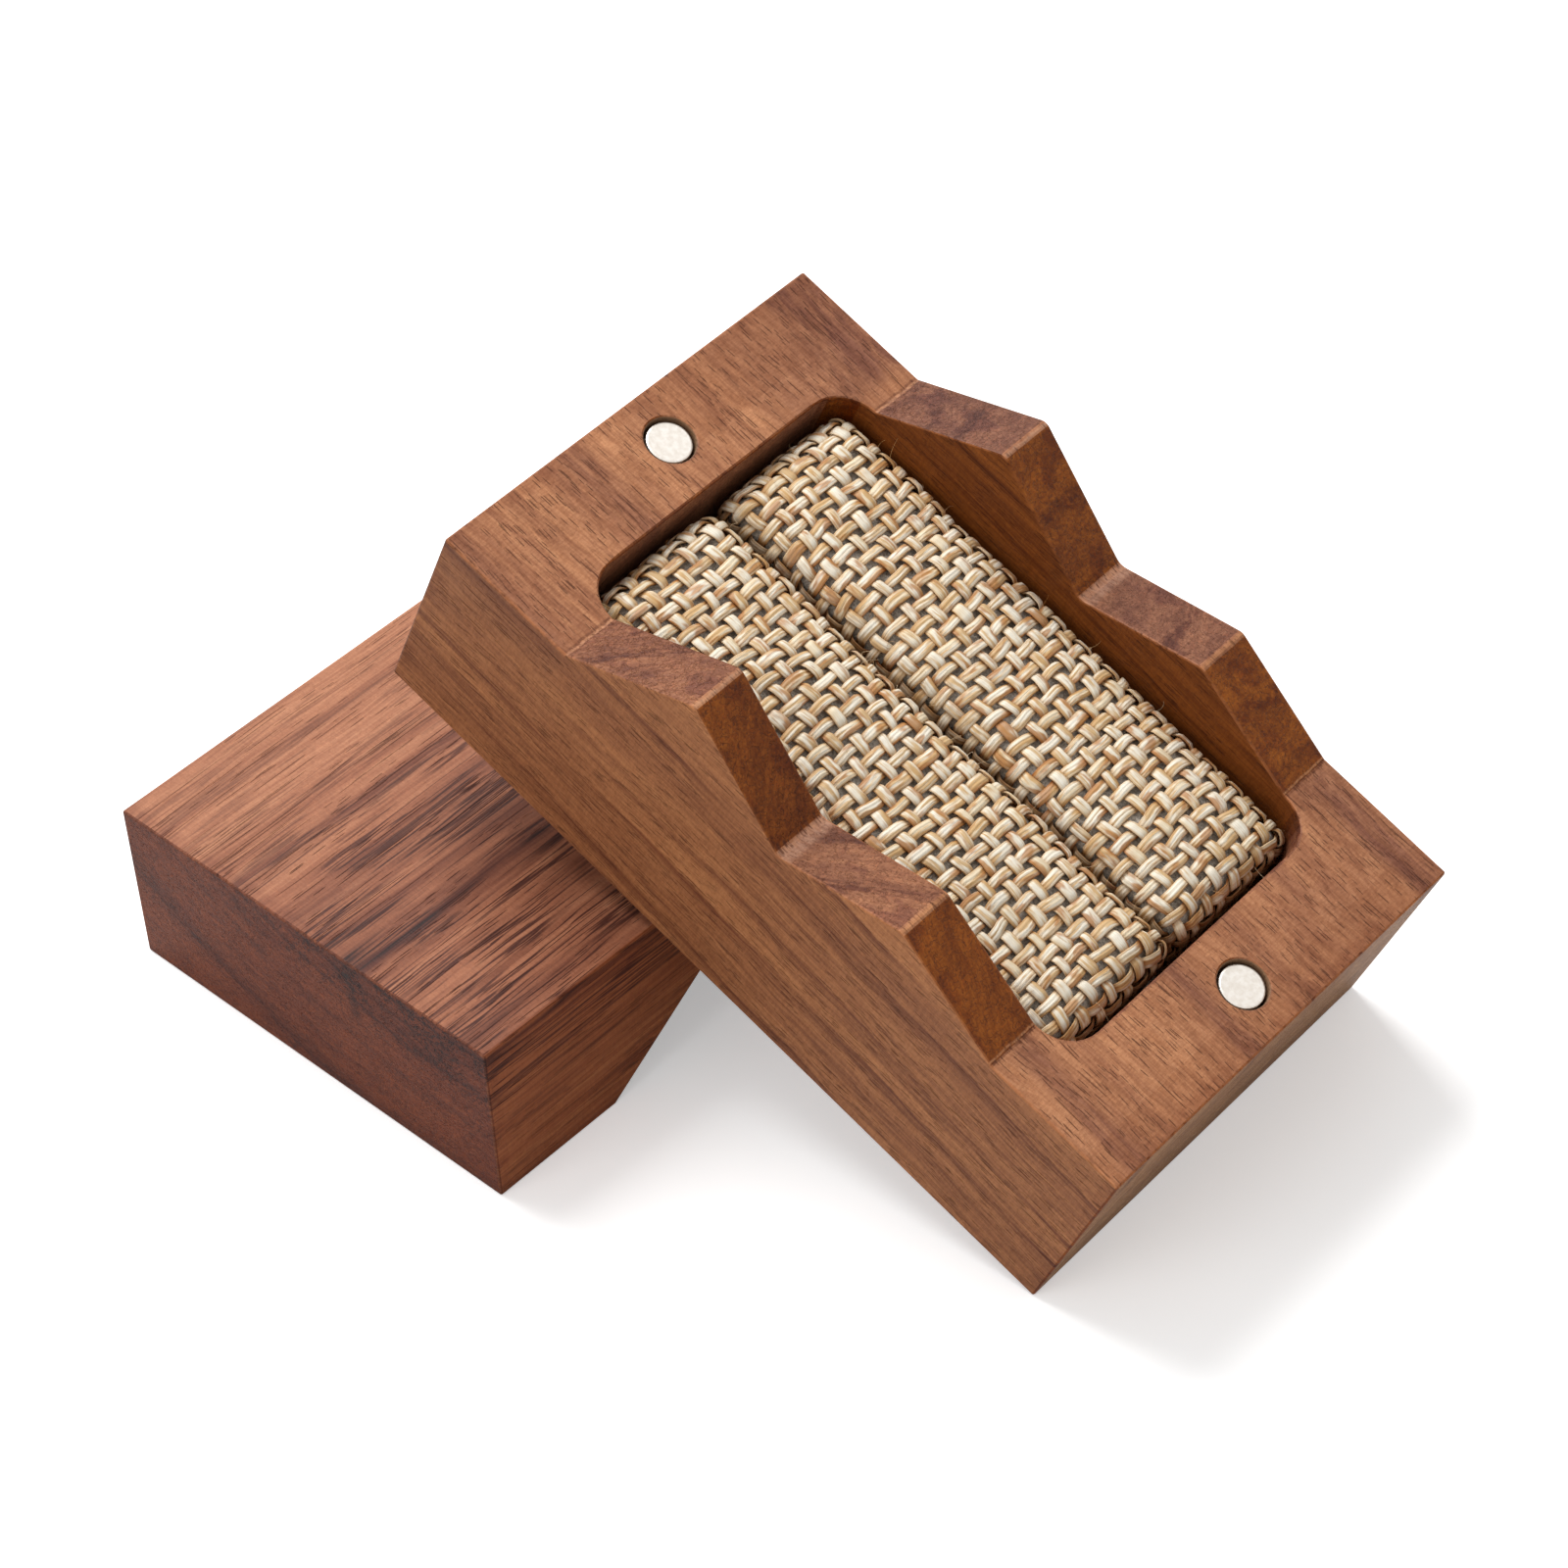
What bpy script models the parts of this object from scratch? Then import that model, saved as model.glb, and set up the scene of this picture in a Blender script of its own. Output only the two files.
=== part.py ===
"""Two-part walnut presentation box, shown open.

Both halves are cut from solid walnut and meet in a zigzag line with a tall and a
low peak. The lid half lies on its two end lands, hollow side down. The base half
leans across it: its rest face touches the lid's long top edge, and its foot
stands on the same surface. The base holds two fabric-covered pads that grip
rings between them, and each half has a disc magnet let into both end lands.

Each half is drawn in its own frame: x along the box, y across it, and z up from
the plane of the end lands. The finished layout stands on z = 0.
"""
import math

import bmesh
import bpy
from mathutils import Euler, Matrix, Vector

# Both halves, in metres
BOX_LENGTH = 0.0920
BOX_WIDTH = 0.0546
BASE_HEIGHT = 0.0258
LID_HEIGHT = 0.0210
EDGE_EASE = 0.00035

# Zigzag line between the halves, measured from the plane of the end lands
ZIGZAG_HALF_SPAN = 0.0291
PEAK_OFFSET = 0.0146
TALL_PEAK_RISE = 0.0096
LOW_PEAK_RISE = 0.0062
VALLEY_RISE = 0.0005
PEAK_RADIUS = 0.0011
VALLEY_RADIUS = 0.0014
MATING_CLEARANCE = 0.0002

# Pocket milled into each half
POCKET_LENGTH = 0.0674
POCKET_WIDTH = 0.0406
POCKET_CORNER_RADIUS = 0.0046
BASE_POCKET_DEPTH = 0.0185
LID_POCKET_DEPTH = 0.0140

# Disc magnets and their blind holes
MAGNET_DIAMETER = 0.0050
MAGNET_THICKNESS = 0.0020
MAGNET_EDGE_RADIUS = 0.0002
MAGNET_HOLE_DIAMETER = 0.0056
MAGNET_END_DISTANCE = 0.0059
MAGNET_SINK = 0.0004

# Two pads side by side in the base pocket
PAD_END_GAP = 0.0009
PAD_CREST_SINK = 0.0006
PAD_CROWN = 0.0012
PAD_EDGE_RADIUS = 0.0048
FABRIC_THICKNESS = 0.0012
FABRIC_TUCK = 0.0050

# Layout of the open box
LEAN_REACH = 0.0490
BASE_TURN = math.radians(2.1)
FOOT_ALONG_LID = 0.0509

# Clearance between pieces that touch, and how far a cut runs past the wood
SEAT_GAP = 0.0003
CUT_OVERRUN = 0.0020

# Counts
ARC_STEP = math.radians(15.0)
CORNER_STEPS = 8
MAGNET_SIDES = 36
PAD_ROUNDING_STEPS = 3
PAD_LENGTH_CUTS = 5
PAD_WIDTH_CUTS = 3

# Colours, as linear red, green and blue
WALNUT_COLOUR = (0.270, 0.115, 0.058)
NICKEL_COLOUR = (0.780, 0.740, 0.670)
FOAM_COLOUR = (0.120, 0.120, 0.115)
FABRIC_COLOUR = (0.560, 0.420, 0.250)


def clear_scene():
    for item in list(bpy.data.objects):
        bpy.data.objects.remove(item, do_unlink=True)


def make_material(name, colour, roughness, metallic=0.0):
    material = bpy.data.materials.new(name)
    material.use_nodes = True
    shader = material.node_tree.nodes["Principled BSDF"]
    shader.inputs["Base Color"].default_value = (*colour, 1.0)
    shader.inputs["Roughness"].default_value = roughness
    shader.inputs["Metallic"].default_value = metallic
    return material


def add_empty(name, matrix, parent=None):
    empty = bpy.data.objects.new(name, None)
    bpy.context.scene.collection.objects.link(empty)
    empty.parent = parent
    empty.matrix_local = matrix
    return empty


def add_object(name, form, parent, location=(0, 0, 0)):
    """Turns a bmesh into an object, in its parent's frame, with outward faces."""
    bmesh.ops.recalc_face_normals(form, faces=form.faces)
    mesh = bpy.data.meshes.new(name)
    form.to_mesh(mesh)
    form.free()
    item = bpy.data.objects.new(name, mesh)
    bpy.context.scene.collection.objects.link(item)
    item.parent = parent
    item.location = location
    return item


def finish(item, material, smooth_angle=math.radians(30.0)):
    item.data.materials.append(material)
    item.data.shade_smooth()
    item.data.set_sharp_from_angle(angle=smooth_angle)


def cut(item, cutter):
    cutter.hide_render = True
    cutter.display_type = "WIRE"
    boolean = item.modifiers.new(cutter.name, "BOOLEAN")
    boolean.operation = "DIFFERENCE"
    boolean.object = cutter


def ease_edges(item, width, segments=2):
    bevel = item.modifiers.new("eased_edges", "BEVEL")
    bevel.width = width
    bevel.segments = segments
    bevel.limit_method = "ANGLE"
    bevel.angle_limit = math.radians(50.0)
    bevel.harden_normals = True


def rounded_corner(before, corner, after, radius):
    """Points of the arc of that radius that blends the corner between two runs."""
    arriving = (before - corner).normalized()
    leaving = (after - corner).normalized()
    half_angle = arriving.angle(leaving) / 2
    bisector = (arriving + leaving).normalized()
    centre = corner + bisector * (radius / math.sin(half_angle))
    start = corner + arriving * (radius / math.tan(half_angle)) - centre
    end = corner + leaving * (radius / math.tan(half_angle)) - centre
    sweep = start.angle_signed(end)
    steps = max(2, math.ceil(abs(sweep) / ARC_STEP))
    return [centre + Matrix.Rotation(-sweep * step / steps, 2) @ start
            for step in range(steps + 1)]


def zigzag_line(lift=0.0):
    """Mating line from the tall peak's end of the box to the low peak's end."""
    corners = [
        Vector((-ZIGZAG_HALF_SPAN, 0)),
        Vector((-PEAK_OFFSET, TALL_PEAK_RISE + lift)),
        Vector((0, VALLEY_RISE + lift)),
        Vector((PEAK_OFFSET, LOW_PEAK_RISE + lift)),
        Vector((ZIGZAG_HALF_SPAN, 0)),
    ]
    radii = [PEAK_RADIUS, VALLEY_RADIUS, PEAK_RADIUS]
    line = [corners[0]]
    for index, radius in enumerate(radii, start=1):
        line += rounded_corner(corners[index - 1], corners[index], corners[index + 1], radius)
    return line + [corners[-1]]


def extrude_outline(points, direction):
    """Closed prism from a flat outline, drawn out along a direction."""
    form = bmesh.new()
    face = form.faces.new([form.verts.new(point) for point in points])
    grown = bmesh.ops.extrude_face_region(form, geom=[face])
    moved = [part for part in grown["geom"] if isinstance(part, bmesh.types.BMVert)]
    bmesh.ops.translate(form, verts=moved, vec=direction)
    return form


def block_form(outline):
    points = [Vector((x, -BOX_WIDTH / 2, z)) for x, z in outline]
    return extrude_outline(points, Vector((0, BOX_WIDTH, 0)))


def pocket_form(bottom, top):
    """Prism with round upright corners, for milling a pocket."""
    half_length = POCKET_LENGTH / 2
    half_width = POCKET_WIDTH / 2
    corners = [Vector((sx * half_length, sy * half_width))
               for sx, sy in ((-1, -1), (1, -1), (1, 1), (-1, 1))]
    points = []
    for index, corner in enumerate(corners):
        before = corners[index - 1]
        after = corners[(index + 1) % len(corners)]
        inward_before = (before - corner).normalized() * POCKET_CORNER_RADIUS
        inward_after = (after - corner).normalized() * POCKET_CORNER_RADIUS
        centre = corner + inward_before + inward_after
        for step in range(CORNER_STEPS + 1):
            angle = math.pi / 2 * step / CORNER_STEPS
            offset = -inward_after * math.cos(angle) - inward_before * math.sin(angle)
            points.append((centre + offset).to_3d() + Vector((0, 0, bottom)))
    return extrude_outline(points, Vector((0, 0, top - bottom)))


def disc_form(diameter, bottom, top):
    form = bmesh.new()
    bmesh.ops.create_cone(form, cap_ends=True, segments=MAGNET_SIDES, radius1=diameter / 2,
                          radius2=diameter / 2, depth=top - bottom)
    bmesh.ops.translate(form, verts=form.verts, vec=(0, 0, (top + bottom) / 2))
    return form


def magnet_places():
    reach = BOX_LENGTH / 2 - MAGNET_END_DISTANCE
    return {"tall_end": (-reach, 0, 0), "low_end": (reach, 0, 0)}


def make_half(name, outline, pocket_depth, into_wood, parent, material):
    """Wooden half with its pocket and two magnet holes, cut from the land plane.

    into_wood is -1 where the wood lies below the land plane and 1 where it lies above.
    """
    half = add_object(name, block_form(outline), parent)
    finish(half, material)
    past_peaks = -into_wood * (TALL_PEAK_RISE + CUT_OVERRUN)
    pocket_span = sorted((into_wood * pocket_depth, past_peaks))
    cut(half, add_object(f"{name}_pocket_cutter", pocket_form(*pocket_span), parent))
    hole_depth = MAGNET_SINK + MAGNET_THICKNESS + SEAT_GAP
    hole_span = sorted((into_wood * hole_depth, -into_wood * CUT_OVERRUN))
    for end, place in magnet_places().items():
        hole = disc_form(MAGNET_HOLE_DIAMETER, *hole_span)
        cut(half, add_object(f"{name}_{end}_hole_cutter", hole, parent, place))
    ease_edges(half, EDGE_EASE)
    return half


def make_magnets(prefix, into_wood, parent, material):
    faces = sorted((into_wood * MAGNET_SINK, into_wood * (MAGNET_SINK + MAGNET_THICKNESS)))
    for end, place in magnet_places().items():
        form = disc_form(MAGNET_DIAMETER, *faces)
        magnet = add_object(f"{prefix}_magnet_{end}", form, parent, place)
        ease_edges(magnet, MAGNET_EDGE_RADIUS)
        finish(magnet, material)


def rounded_positions(half_size, radius, flat_cuts):
    """Cutting positions that give even arcs on the rounding and even flats between."""
    flat_half = half_size - radius
    arc = [flat_half + radius * math.tan(math.pi / 4 * step / PAD_ROUNDING_STEPS)
           for step in range(PAD_ROUNDING_STEPS)]
    flats = [flat_half * (2 * step / (flat_cuts + 1) - 1) for step in range(1, flat_cuts + 1)]
    return [-position for position in arc] + flats + arc


def pad_form(half_size, radius, crown):
    """Rounded block with a crowned top, about its own centre.

    A point of the plain block is drawn back to the block less its radius, then
    moved out again by the radius. The top then rises towards its middle, by the
    crown times a parabola each way.
    """
    form = bmesh.new()
    bmesh.ops.create_cube(form, size=2.0)
    bmesh.ops.scale(form, vec=half_size, verts=form.verts)
    flat_cuts = (PAD_LENGTH_CUTS, PAD_WIDTH_CUTS, 0)
    for axis in range(3):
        normal = Vector([1.0 if axis == other else 0.0 for other in range(3)])
        for position in rounded_positions(half_size[axis], radius, flat_cuts[axis]):
            geometry = form.verts[:] + form.edges[:] + form.faces[:]
            bmesh.ops.bisect_plane(form, geom=geometry, plane_co=normal * position,
                                   plane_no=normal)
    core = Vector([size - radius for size in half_size])
    for vert in form.verts:
        inner = Vector([max(-limit, min(limit, value)) for limit, value in zip(core, vert.co)])
        vert.co = inner + (vert.co - inner).normalized() * radius
        arch = (1 - (vert.co.x / half_size[0]) ** 2) * (1 - (vert.co.y / half_size[1]) ** 2)
        vert.co.z += crown * arch * max(0.0, vert.co.z / half_size[2])
    return form


def make_pads(parent, fabric, foam):
    """Two pads, each a foam core in a fabric cover that is turned under and glued."""
    cover_half = Vector((
        POCKET_LENGTH / 2 - PAD_END_GAP,
        (POCKET_WIDTH - 3 * SEAT_GAP) / 4,
        (BASE_POCKET_DEPTH - SEAT_GAP - PAD_CREST_SINK - PAD_CROWN) / 2,
    ))
    wall = Vector((FABRIC_THICKNESS,) * 3)
    gap = Vector((SEAT_GAP,) * 3)
    hollow_half = cover_half - wall
    core_half = hollow_half - gap
    window_half = hollow_half - Vector((FABRIC_TUCK, FABRIC_TUCK, 0))
    floor = -BASE_POCKET_DEPTH + SEAT_GAP
    offset = (SEAT_GAP + 2 * cover_half.y) / 2
    for side, sign in (("near", -1), ("far", 1)):
        place = (0, sign * offset, floor + cover_half.z)
        cover_form = pad_form(cover_half, PAD_EDGE_RADIUS, PAD_CROWN)
        cover = add_object(f"pad_cover_{side}", cover_form, parent, place)
        finish(cover, fabric)
        hollow_form = pad_form(hollow_half, PAD_EDGE_RADIUS - FABRIC_THICKNESS, PAD_CROWN)
        cut(cover, add_object(f"pad_hollow_cutter_{side}", hollow_form, parent, place))
        window_form = bmesh.new()
        bmesh.ops.create_cube(window_form, size=2.0)
        bmesh.ops.scale(window_form, vec=window_half, verts=window_form.verts)
        window_place = (0, place[1], place[2] - cover_half.z)
        cut(cover, add_object(f"pad_window_cutter_{side}", window_form, parent, window_place))
        core_radius = PAD_EDGE_RADIUS - FABRIC_THICKNESS - SEAT_GAP
        core_form = pad_form(core_half, core_radius, PAD_CROWN)
        core = add_object(f"pad_core_{side}", core_form, parent, place)
        finish(core, foam)


def block_corners(bottom, top):
    return [Vector((sx * BOX_LENGTH / 2, sy * BOX_WIDTH / 2, z))
            for sx in (-1, 1) for sy in (-1, 1) for z in (bottom, top)]


def open_layout():
    """Places of the lid and base frames, with the layout centred over the origin.

    The lid's length runs along +Y, and its contact edge starts on the line x = 0.
    The base leans down towards +X. Its lean is worked out from the height of the
    lid's edge and the distance from there to the foot.
    """
    lid = (Matrix.Translation((-BOX_WIDTH / 2, BOX_LENGTH / 2, 0))
           @ Matrix.Rotation(math.pi / 2, 4, "Z"))
    lean = math.atan2(LID_HEIGHT, LEAN_REACH)
    skew = BOX_WIDTH / 2 * abs(math.tan(BASE_TURN)) * math.tan(lean)
    lean = math.atan2(LID_HEIGHT + SEAT_GAP / math.cos(lean) + skew, LEAN_REACH)
    turned = Euler((0, lean, BASE_TURN)).to_matrix().to_4x4()
    foot = Vector((LEAN_REACH * math.cos(BASE_TURN),
                   FOOT_ALONG_LID + LEAN_REACH * math.sin(BASE_TURN), 0))
    base = Matrix.Translation(foot) @ turned @ Matrix.Translation((-BOX_LENGTH / 2, 0, BASE_HEIGHT))
    corners = [lid @ corner for corner in block_corners(0, LID_HEIGHT)]
    corners += [base @ corner for corner in block_corners(-BASE_HEIGHT, 0)]
    centre = [(min(axis) + max(axis)) / 2 for axis in zip(*corners)]
    to_origin = Matrix.Translation((-centre[0], -centre[1], 0))
    return to_origin @ lid, to_origin @ base


def build():
    clear_scene()
    walnut = make_material("walnut", WALNUT_COLOUR, 0.50)
    nickel = make_material("nickel_plate", NICKEL_COLOUR, 0.32, 1.0)
    foam = make_material("grey_foam", FOAM_COLOUR, 0.95)
    fabric = make_material("woven_fabric", FABRIC_COLOUR, 0.85)
    lid_matrix, base_matrix = open_layout()
    lid_frame = add_empty("lid_frame", lid_matrix)
    base_frame = add_empty("base_frame", base_matrix)

    half_length = BOX_LENGTH / 2
    lid_outline = [Vector((-half_length, 0)), *zigzag_line(MATING_CLEARANCE),
                   Vector((half_length, 0)), Vector((half_length, LID_HEIGHT)),
                   Vector((-half_length, LID_HEIGHT))]
    base_outline = [Vector((-half_length, 0)), *zigzag_line(), Vector((half_length, 0)),
                    Vector((half_length, -BASE_HEIGHT)), Vector((-half_length, -BASE_HEIGHT))]
    make_half("lid_half", lid_outline, LID_POCKET_DEPTH, 1, lid_frame, walnut)
    make_half("base_half", base_outline, BASE_POCKET_DEPTH, -1, base_frame, walnut)
    make_magnets("lid", 1, lid_frame, nickel)
    make_magnets("base", -1, base_frame, nickel)
    make_pads(base_frame, fabric, foam)


build()
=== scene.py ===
"""Finish of the open walnut presentation box: solid walnut halves, plated disc magnets
and two foam pads covered in a coarse plain weave."""
import math

import bpy
import numpy as np
from mathutils import Matrix, Quaternion, Vector


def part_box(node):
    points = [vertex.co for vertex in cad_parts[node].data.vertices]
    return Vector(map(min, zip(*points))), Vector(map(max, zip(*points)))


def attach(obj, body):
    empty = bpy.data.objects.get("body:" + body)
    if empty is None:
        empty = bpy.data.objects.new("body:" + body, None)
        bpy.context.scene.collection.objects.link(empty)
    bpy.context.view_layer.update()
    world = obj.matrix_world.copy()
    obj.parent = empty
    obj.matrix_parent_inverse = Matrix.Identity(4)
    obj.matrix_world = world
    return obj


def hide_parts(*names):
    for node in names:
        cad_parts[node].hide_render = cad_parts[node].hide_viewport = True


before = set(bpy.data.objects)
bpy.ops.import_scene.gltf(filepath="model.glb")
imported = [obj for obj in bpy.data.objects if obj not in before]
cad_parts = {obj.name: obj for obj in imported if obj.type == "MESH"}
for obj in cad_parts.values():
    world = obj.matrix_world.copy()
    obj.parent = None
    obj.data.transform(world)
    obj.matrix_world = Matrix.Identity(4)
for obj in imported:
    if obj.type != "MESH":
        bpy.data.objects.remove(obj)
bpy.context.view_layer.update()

# Camera
# It looks down on the open box from the base's low end and the lid's near end.
# Place, aim, roll and lens come from the corners of both halves in the photograph.
CAMERA_PLACE = Vector((0.242216, -0.246582, 0.356048))
CAMERA_AIM = Vector((-0.000060, -0.004420, 0.030000))
CAMERA_ROLL = math.radians(-3.321)
CAMERA_LENS = 105.862
CAMERA_SENSOR = 36.0


def add_object(name, data):
    """A new object in the scene, at the origin, unturned and unscaled."""
    made = bpy.data.objects.new(name, data)
    bpy.context.scene.collection.objects.link(made)
    return made


camera_data = bpy.data.cameras.new("camera")
camera_data.lens = CAMERA_LENS
camera_data.sensor_width = CAMERA_SENSOR
camera_data.clip_start = 0.01
camera_data.clip_end = 10.0
camera = add_object("camera", camera_data)
camera.location = CAMERA_PLACE
camera.rotation_mode = "QUATERNION"
aim_turn = (CAMERA_AIM - CAMERA_PLACE).to_track_quat("-Z", "Y")
camera.rotation_quaternion = aim_turn @ Quaternion((0, 0, 1), CAMERA_ROLL)
bpy.context.scene.camera = camera
bpy.context.scene.view_settings.view_transform = "Standard"


# Walnut halves
# Lid and base are each cut from one piece of walnut with the grain along the box,
# milled on the zigzag and in the pocket, then oiled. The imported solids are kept.
MAGNET_CENTRE_DEPTH = 0.0014
MAGNET_DISTANCE = 40.1
MILLIMETRE = 0.001

# Places in a half's own frame, in millimetres, as the start and end of a fade
LAND_START = (27.0, 30.0)
LAND_DEPTH = (-5.0, -1.0)
OUTER_END = (44.0, 45.0)
FAR_WALL = (17.0, 19.0)
POCKET_SIDE = (24.0, 23.0)
GAP_RING_SQUARED = (8.5, 8.0)
GAP_DEPTH = (4.0, 3.0)

# How far a face turns towards a direction, from edge-on at 0 to square-on at 1
ON_SLOPE = (0.20, 0.40)
OFF_SLOPE = (0.98, 0.92)
ON_END = (0.92, 0.98)
ON_SIDE = (0.50, 0.90)
ON_LAND = (0.96, 0.99)
ON_EDGE = (0.25, 0.45)


class Wire:
    """A shader socket that can stand in a sum: each operator adds its Math node."""

    def __init__(self, tree, socket):
        self.tree = tree
        self.socket = socket

    def node(self, kind, inputs=None, settings=None, output=0):
        """Adds a node: its settings first, then the values or wires of its sockets."""
        made = self.tree.nodes.new("ShaderNode" + kind)
        for name, value in (settings or {}).items():
            if name == "stops":
                fill_ramp(made.color_ramp, value)
            else:
                setattr(made, name, value)
        for name, value in (inputs or {}).items():
            socket = find_socket(made.inputs, name)
            if isinstance(value, Wire):
                self.tree.links.new(value.socket, socket)
            else:
                socket.default_value = value
        return Wire(self.tree, find_socket(made.outputs, output))

    def math(self, operation, *others):
        """This wire and any others through a Math node."""
        return self.node("Math", dict(enumerate((self, *others))), {"operation": operation})

    def vector(self, operation, other, output=0):
        """This vector and another through a Vector Math node."""
        settings = {"operation": operation}
        return self.node("VectorMath", {0: self, 1: other}, settings, output)

    def scaled(self, *factors):
        """The vector with each part multiplied, which stretches a pattern."""
        return self.vector("MULTIPLY", factors)

    def step(self, low, high):
        """0 below low, 1 above high and a smooth rise between; falls if low is above high."""
        values = {"Value": self, "From Min": low, "From Max": high}
        return self.node("MapRange", values, {"interpolation_type": "SMOOTHSTEP"})

    def choose(self, first, second):
        """Colour that goes from the first to the second as this wire goes from 0 to 1."""
        values = {"Factor_Float": self, "A_Color": first, "B_Color": second}
        return self.node("Mix", values, {"data_type": "RGBA"}, "Result_Color")

    def tint(self, factor, colour):
        """This colour multiplied by another, as far as the factor says."""
        values = {"Factor_Float": factor, "A_Color": self, "B_Color": colour}
        settings = {"data_type": "RGBA", "blend_type": "MULTIPLY"}
        return self.node("Mix", values, settings, "Result_Color")

    def noise(self, detail=3.0, roughness=0.5, output="Fac"):
        """Cloudy noise from about 0 to 1, even round 0.5, at this vector's place."""
        values = {"Vector": self, "Scale": 1.0, "Detail": detail, "Roughness": roughness}
        return self.node("TexNoise", values, output=output)

    def parts(self):
        """The three numbers of a vector."""
        split = self.node("SeparateXYZ", {"Vector": self})
        outputs = split.socket.node.outputs
        return [Wire(self.tree, outputs[index]) for index in range(3)]

    def __add__(self, other):
        return self.math("ADD", other)

    def __sub__(self, other):
        return self.math("SUBTRACT", other)

    def __rsub__(self, other):
        return self.node("Math", {0: other, 1: self}, {"operation": "SUBTRACT"})

    def __mul__(self, other):
        return self.math("MULTIPLY", other)

    def __abs__(self):
        return self.math("ABSOLUTE")

    __radd__ = __add__
    __rmul__ = __mul__


def find_socket(sockets, key):
    """A socket by its number, or by its identifier or name."""
    if isinstance(key, int):
        return sockets[key]
    return next(item for item in sockets if key in (item.identifier, item.name))


def fill_ramp(ramp, stops):
    """Gives a colour ramp its stops, each a place and a colour."""
    while len(ramp.elements) < len(stops):
        ramp.elements.new(1.0)
    for element, (place, colour) in zip(ramp.elements, stops):
        element.position = place
        element.color = colour


def paint(red, green, blue):
    """A colour given as screen values from 0 to 255, as the linear values of a shader."""
    shares = np.array([red, green, blue]) / 255.0
    linear = np.where(shares <= 0.04045, shares / 12.92, ((shares + 0.055) / 1.055) ** 2.4)
    return (*[float(value) for value in linear], 1.0)


def start_material(name):
    """A material, its Principled shader and its Texture Coordinate node."""
    material = bpy.data.materials.new(name)
    material.use_nodes = True
    tree = material.node_tree
    shader = tree.nodes["Principled BSDF"]
    coordinates = tree.nodes.new("ShaderNodeTexCoord")
    return material, shader, coordinates


def feed(shader, **wires):
    """Links wires to the shader's sockets, whose names have _ for a space."""
    for name, wire in wires.items():
        wire.tree.links.new(wire.socket, shader.inputs[name.replace("_", " ")])


def centre_of(node):
    """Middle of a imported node's box."""
    low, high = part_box(node)
    return (low + high) / 2


def half_frame(half, wood_side):
    """A half's own frame: x from its tall end to its low end, y across, z off its end lands.

    Its two magnets give the line along the box. The wood lies on the side of the
    lands that wood_side names.
    """
    tall_end = centre_of(f"{half}_magnet_tall_end")
    low_end = centre_of(f"{half}_magnet_low_end")
    along = (low_end - tall_end).normalized()
    across = Vector((0, 0, 1)).cross(along).normalized()
    upward = along.cross(across)
    middle = (tall_end + low_end) / 2 - upward * wood_side * MAGNET_CENTRE_DEPTH
    return Matrix.Translation(middle) @ Matrix((along, across, upward)).transposed().to_4x4()


def in_frame(wire, half):
    """Object coordinates turned into a half's own frame, in millimetres."""
    inputs = {
        "Vector": wire,
        "Location": half.translation,
        "Rotation": half.to_euler(),
        "Scale": (MILLIMETRE,) * 3,
    }
    return wire.node("Mapping", inputs, {"vector_type": "TEXTURE"})


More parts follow.
